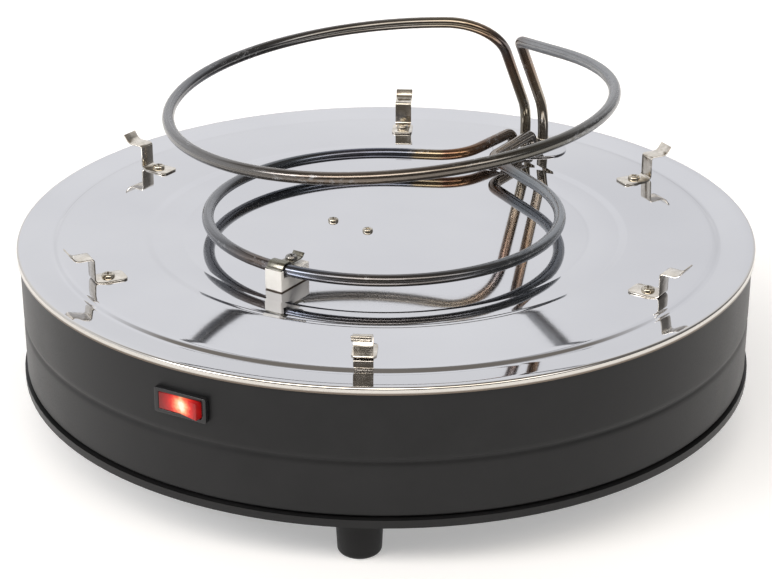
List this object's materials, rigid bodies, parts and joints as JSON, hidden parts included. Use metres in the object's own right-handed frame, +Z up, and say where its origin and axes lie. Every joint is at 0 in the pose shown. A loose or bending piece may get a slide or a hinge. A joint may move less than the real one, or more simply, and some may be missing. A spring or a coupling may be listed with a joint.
{
  "type": "hot plate burner",
  "caption": "Round table-top heater base: black drum on feet, polished plate, open tubular heating rings one above the other, carrier clips round the edge and a lit rocker switch.",
  "frame": {"origin": "centre of the plane that the feet stand on", "axes": "+Z up along the drum's axis, front carrier clip and front foot at -Y, switch left of the front"},
  "size_m": [0.4107, 0.4108, 0.1981],
  "materials": {
    "polished_steel": "mirror-polished stainless sheet",
    "black_coat": "satin black powder coat on steel sheet",
    "black_plastic": "moulded black",
    "heater_sheath": "heat-tinted steel tube",
    "nickel": "nickel-plated strip",
    "zinc": "zinc-plated",
    "ceramic": "unglazed off-white",
    "brass": "bare",
    "gloss_black": "gloss black",
    "red_lens": "clear red",
    "lamp_glass": "clear",
    "white_plastic": "moulded white",
    "lead_sleeve": "sleeved lead"
  },
  "bodies": {
    "base": {"top_plate": "polished_steel", "drum_wall": "black_coat", "bottom_pan": "black_coat", "foot_front": "black_plastic", "foot_right": "black_plastic", "foot_rear": "black_plastic", "foot_left": "black_plastic", "cord_gland": "black_plastic", "gland_nut": "black_plastic", "upper_heater": "heater_sheath", "lower_heater": "heater_sheath", "clip_front": "nickel", "clip_front_right": "nickel", "clip_rear_right": "nickel", "clip_rear": "nickel", "clip_rear_left": "nickel", "clip_front_left": "nickel", "support_strap": "nickel", "terminal_flange": "nickel", "upper_collars": "nickel", "heater_ferrules": "nickel", "foot_screws": "zinc", "foot_nuts": "zinc", "pan_screws": "zinc", "pan_nuts": "zinc", "tie_rods": "zinc", "tie_nuts": "zinc", "clip_screws": "zinc", "clip_nuts": "zinc", "strap_screw": "zinc", "strap_nut": "zinc", "thermostat_screws": "zinc", "thermostat_nuts": "zinc", "block_screws": "zinc", "block_nuts": "zinc", "heater_pins": "zinc", "ceramic_support": "ceramic", "heater_seals": "ceramic", "thermostat": "ceramic", "thermostat_blades": "brass", "switch_blades": "brass", "terminal_screws": "brass", "earth_stud": "brass", "earth_nut": "brass", "earth_tag": "brass", "switch_housing": "gloss_black", "neon_lamp": "lamp_glass", "terminal_block": "white_plastic", "lead_live": "lead_sleeve", "lead_switched": "lead_sleeve", "lead_thermostat": "lead_sleeve", "lead_link": "lead_sleeve", "lead_neutral": "lead_sleeve", "lead_earth": "lead_sleeve"},
    "rocker": {"rocker": "red_lens"}
  },
  "joints": [
    {"name": "rocker_tilt", "type": "hinge", "parent": "base", "child": "rocker", "pos_m": [-0.08752, -0.1835, 0.0847], "axis": [0, 0, 1], "range_deg": [0, 14]}
  ]
}
